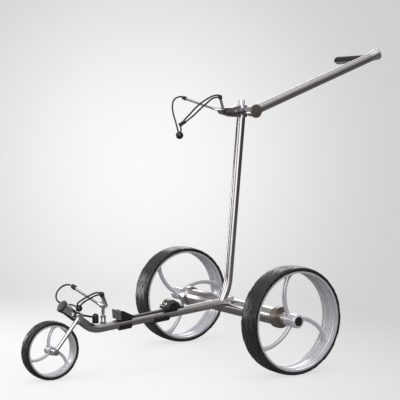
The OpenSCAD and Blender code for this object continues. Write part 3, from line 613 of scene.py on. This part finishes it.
def make_stitches():
    """Two rows of thread along the grip pad's edges."""
    low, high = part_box("grip_bar")
    middle = (low + high) / 2
    out = Vector((0, -sin(HANDLE_RISE), cos(HANDLE_RISE)))
    across = Vector((0, cos(HANDLE_RISE), sin(HANDLE_RISE)))
    count, first, pitch = 30, -70 * MM, 3.8 * MM
    seam_r, half_long, half_thick = 12.95 * MM, 1.3 * MM, 0.35 * MM
    bm = bmesh.new()
    for side in (-1, 1):
        lean = radians(72) * side
        normal = out * cos(lean) + across * sin(lean)
        aside = normal.cross(Vector((1, 0, 0)))
        for k in range(count):
            spot = Vector((first + pitch * k, middle.y, middle.z))
            ball = bmesh.ops.create_icosphere(bm, subdivisions=2, radius=1)["verts"]
            for vert in ball:
                x, y, z = vert.co
                vert.co = (spot + normal * (seam_r + half_thick * z)
                           + Vector((half_long * x, 0, 0)) + aside * half_thick * y)
    return finish_piece(mesh_piece("grip_stitches", bm), "handle", "cord_sleeve")


make_stitches()


def ring_bead(name, spots, radius, body, slot, material):
    """A weld bead: a rippled run of metal along a closed loop of points."""
    sides, ripple, ripple_steps = 8, 0.14, 3
    bm = bmesh.new()
    rings, side = [], None
    for k, spot in enumerate(spots):
        along = (spots[(k + 1) % len(spots)] - spots[k - 1]).normalized()
        if side is None:
            side = along.orthogonal().normalized()
        else:
            side = (side - along * side.dot(along)).normalized()
        up = along.cross(side)
        r = radius * (1 + ripple * sin(2 * pi * k / ripple_steps))
        rings.append([bm.verts.new(spot + side * r * cos(a) + up * r * sin(a))
                      for a in (2 * pi * m / sides for m in range(sides))])
    for a, b in zip(rings, rings[1:] + rings[:1]):
        start = min(range(sides), key=lambda m: (b[m].co - a[0].co).length)
        for m in range(sides):
            bm.faces.new((a[m], a[(m + 1) % sides],
                          b[(start + m + 1) % sides], b[(start + m) % sides]))
    return finish_piece(mesh_piece(name, bm), body, slot, (), 60, material)


def make_weld():
    """The bead where the main tube meets the cross tube."""
    tube_low, tube_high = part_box("main_tube")
    tube_r, cross_r = (tube_high.x - tube_low.x) / 2, (axle_high.z - axle_low.z) / 2
    along = Vector((0, -cos(MAIN_SLOPE), -sin(MAIN_SLOPE)))
    up = Vector((0, -sin(MAIN_SLOPE), cos(MAIN_SLOPE)))
    spots, steps = [], 96
    for k in range(steps):
        a = 2 * pi * k / steps
        start = Vector((tube_r * cos(a), 0, MAIN_RISE)) + up * tube_r * sin(a)
        b, c = start.dot(along), start.y ** 2 + start.z ** 2 - cross_r ** 2
        spots.append(AXLE + start + along * (-b + sqrt(max(b * b - c, 0))))
    ring_bead("main_tube_weld", spots, 1.5 * MM, "frame", "stainless_tube",
              OWN_FINISH["axle_tube"])


make_weld()


def make_collars():
    """The two end collars of the cross tube: the near one bronze, the far one bright."""
    for name, side, slot in (("near_collar", 1, "bronze_alloy"), ("far_collar", -1, "alloy")):
        bm = cad_copy("end_collars")
        away = [v for v in bm.verts if v.co.x * side < 0]
        bmesh.ops.delete(bm, geom=away, context="VERTS")
        piece = add_bevel(mesh_piece(name, bm), 0.9 * MM)
        finish_piece(piece, "frame", slot, ("end_collars",), 40)


def make_ridges(name, body, node_tyre, rim_r, places, proud):
    """Rolled ridges round the inside of a rim."""
    low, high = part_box(node_tyre)
    centre = (low + high) / 2
    root, knee = 1.6 * MM, 1.1 * MM
    sunk_r, knee_r, crest_r = rim_r + 0.4 * MM, rim_r - proud * 0.6, rim_r - proud
    bm = bmesh.new()
    for x in places:
        profile = [(x - root, sunk_r), (x - knee, knee_r), (x, crest_r), (x + knee, knee_r),
                   (x + root, sunk_r)]
        ring = spun(profile, centre, (1, 0, 0), 128)
        mesh = bpy.data.meshes.new("ridge")
        ring.to_mesh(mesh)
        ring.free()
        bm.from_mesh(mesh)
        bpy.data.meshes.remove(mesh)
    finish_piece(mesh_piece(name, bm), body, "silver_paint", (), 50)


make_collars()
for name in ("left", "right"):
    make_ridges(name + "_rim_ridges", name + "_wheel", name + "_tyre", REAR_FOOT_R,
                (-19 * MM, 19 * MM), 1.6 * MM)
make_ridges("front_rim_ridges", "front_wheel", "front_tyre", FRONT_FOOT_R,
            (-9 * MM, 9 * MM), 1.0 * MM)
softened("front_bumper", 0.8 * MM, segments=3)

# ---- floor, backdrop and light -----------------------------------------------

BACKDROP = 0.63
BRIGHT_SPOT, SPOT_REACH = (-0.866, 0.499, -0.038), 0.24
FLOOR_MIDDLE, FLOOR_FADE = (-0.12, -0.7, 0), (0.35, 1.75)
FLOOR_GLOW = 0.66


def make_floor():
    """A pale paper disc that fades out into the backdrop a few metres away; every ray but the
    camera's sees it as dark grey, painted shade for the steel's undersides.
    """
    bm = bmesh.new()
    bmesh.ops.create_circle(bm, cap_ends=True, segments=96, radius=6)
    floor = mesh_piece("studio_floor", bm)
    material = bpy.data.materials.new("floor_paper")
    material.use_nodes = True
    nodes, links = material.node_tree.nodes, material.node_tree.links
    shader, out = nodes["Principled BSDF"], nodes["Material Output"]
    shader.inputs["Base Color"].default_value = (0.95, 0.95, 0.95, 1)
    shader.inputs["Roughness"].default_value = 0.9
    shader.inputs["Specular IOR Level"].default_value = 0.1
    place = nodes.new("ShaderNodeTexCoord")
    far = nodes.new("ShaderNodeVectorMath")
    far.operation = "DISTANCE"
    far.inputs[1].default_value = FLOOR_MIDDLE
    links.new(place.outputs["Object"], far.inputs[0])
    glow = nodes.new("ShaderNodeEmission")
    lit = nodes.new("ShaderNodeMixShader")
    lit.inputs[0].default_value = FLOOR_GLOW
    links.new(shader.outputs[0], lit.inputs[1])
    links.new(glow.outputs[0], lit.inputs[2])
    clear = nodes.new("ShaderNodeBsdfTransparent")
    seen = nodes.new("ShaderNodeMixShader")
    fade = nodes.new("ShaderNodeMapRange")
    fade.interpolation_type = "SMOOTHSTEP"
    fade.inputs["From Min"].default_value, fade.inputs["From Max"].default_value = FLOOR_FADE
    links.new(far.outputs["Value"], fade.inputs["Value"])
    links.new(fade.outputs["Result"], seen.inputs[0])
    links.new(lit.outputs[0], seen.inputs[1])
    links.new(clear.outputs[0], seen.inputs[2])
    # painted shade: to every ray but the camera's the floor is dark grey, so the steel reflects
    # and the parts above catch shade instead of pale paper
    dim = nodes.new("ShaderNodeBsdfDiffuse")
    dim.inputs["Color"].default_value = (0.2, 0.19, 0.185, 1)
    path = nodes.new("ShaderNodeLightPath")
    mix = nodes.new("ShaderNodeMixShader")
    links.new(path.outputs["Is Camera Ray"], mix.inputs[0])
    links.new(dim.outputs[0], mix.inputs[1])
    links.new(seen.outputs[0], mix.inputs[2])
    links.new(mix.outputs[0], out.inputs["Surface"])
    floor.data.materials.append(material)


def make_backdrop():
    """The pale backdrop that the camera sees, and the studio that the steel reflects."""
    world = bpy.data.worlds.new("studio")
    bpy.context.scene.world = world
    world.use_nodes = True
    nodes, links = world.node_tree.nodes, world.node_tree.links
    seen, out = nodes["Background"], nodes["World Output"]
    place = nodes.new("ShaderNodeTexCoord")
    glow = nodes.new("ShaderNodeVectorMath")
    glow.operation = "DISTANCE"
    links.new(place.outputs["Generated"], glow.inputs[0])
    glow.inputs[1].default_value = BRIGHT_SPOT
    fall = nodes.new("ShaderNodeValToRGB")
    fall.color_ramp.elements[0].color = (0.96, 0.96, 0.96, 1)
    fall.color_ramp.elements[1].color = (*[BACKDROP] * 3, 1)
    fall.color_ramp.interpolation = "EASE"
    links.new(add_range(world.node_tree, glow.outputs["Value"], 0.0, SPOT_REACH, 0, 1),
              fall.inputs["Fac"])
    links.new(fall.outputs["Color"], seen.inputs["Color"])
    split = nodes.new("ShaderNodeSeparateXYZ")
    links.new(place.outputs["Generated"], split.inputs["Vector"])
    bands = nodes.new("ShaderNodeValToRGB")
    ramp = bands.color_ramp
    ramp.elements[0].position, ramp.elements[0].color = 0.0, (0.2, 0.19, 0.18, 1)
    ramp.elements[1].position, ramp.elements[1].color = 1.0, (0.5, 0.5, 0.53, 1)
    for position, level in ((0.47, 0.05), (0.56, 0.08), (0.66, 0.34), (0.8, 0.5)):
        band = ramp.elements.new(position)
        band.color = (level, level * 0.97, level * 0.96, 1)
    links.new(add_range(world.node_tree, split.outputs["Z"], -1, 1, 0, 1), bands.inputs["Fac"])
    studio = nodes.new("ShaderNodeBackground")
    links.new(bands.outputs["Color"], studio.inputs["Color"])
    path = nodes.new("ShaderNodeLightPath")
    mix = nodes.new("ShaderNodeMixShader")
    links.new(path.outputs["Is Camera Ray"], mix.inputs[0])
    links.new(studio.outputs[0], mix.inputs[1])
    links.new(seen.outputs[0], mix.inputs[2])
    links.new(mix.outputs[0], out.inputs["Surface"])


def softbox(name, place, aim, width, height, power):
    """A rectangular lamp that the camera itself doesn't see."""
    lamp = bpy.data.lights.new(name, "AREA")
    lamp.shape = "RECTANGLE"
    lamp.size, lamp.size_y, lamp.energy = width, height, power
    box = bpy.data.objects.new(name, lamp)
    box.visible_camera = False
    bpy.context.scene.collection.objects.link(box)
    box.location = place
    box.rotation_mode = "QUATERNION"
    box.rotation_quaternion = (Vector(aim) - Vector(place)).to_track_quat("-Z", "Y")


bpy.context.scene.view_settings.view_transform = "Standard"
make_floor()
make_backdrop()
MIDDLE = (0, 0, 0.45)
softbox("key_softbox", (3.4, -1.6, 1.5), MIDDLE, 3.0, 3.0, 55)
softbox("front_softbox", (0.1, -3.6, 1.6), MIDDLE, 2.2, 2.4, 34)
softbox("top_softbox", (0.4, -0.4, 3.4), MIDDLE, 4.2, 4.2, 24)
softbox("back_softbox", (-2.8, 2.0, 1.8), MIDDLE, 2.0, 2.4, 28)
softbox("side_softbox", (-1.35, -0.7, 0.32), (-0.3, -0.05, 0.16), 0.7, 0.62, 4.4)
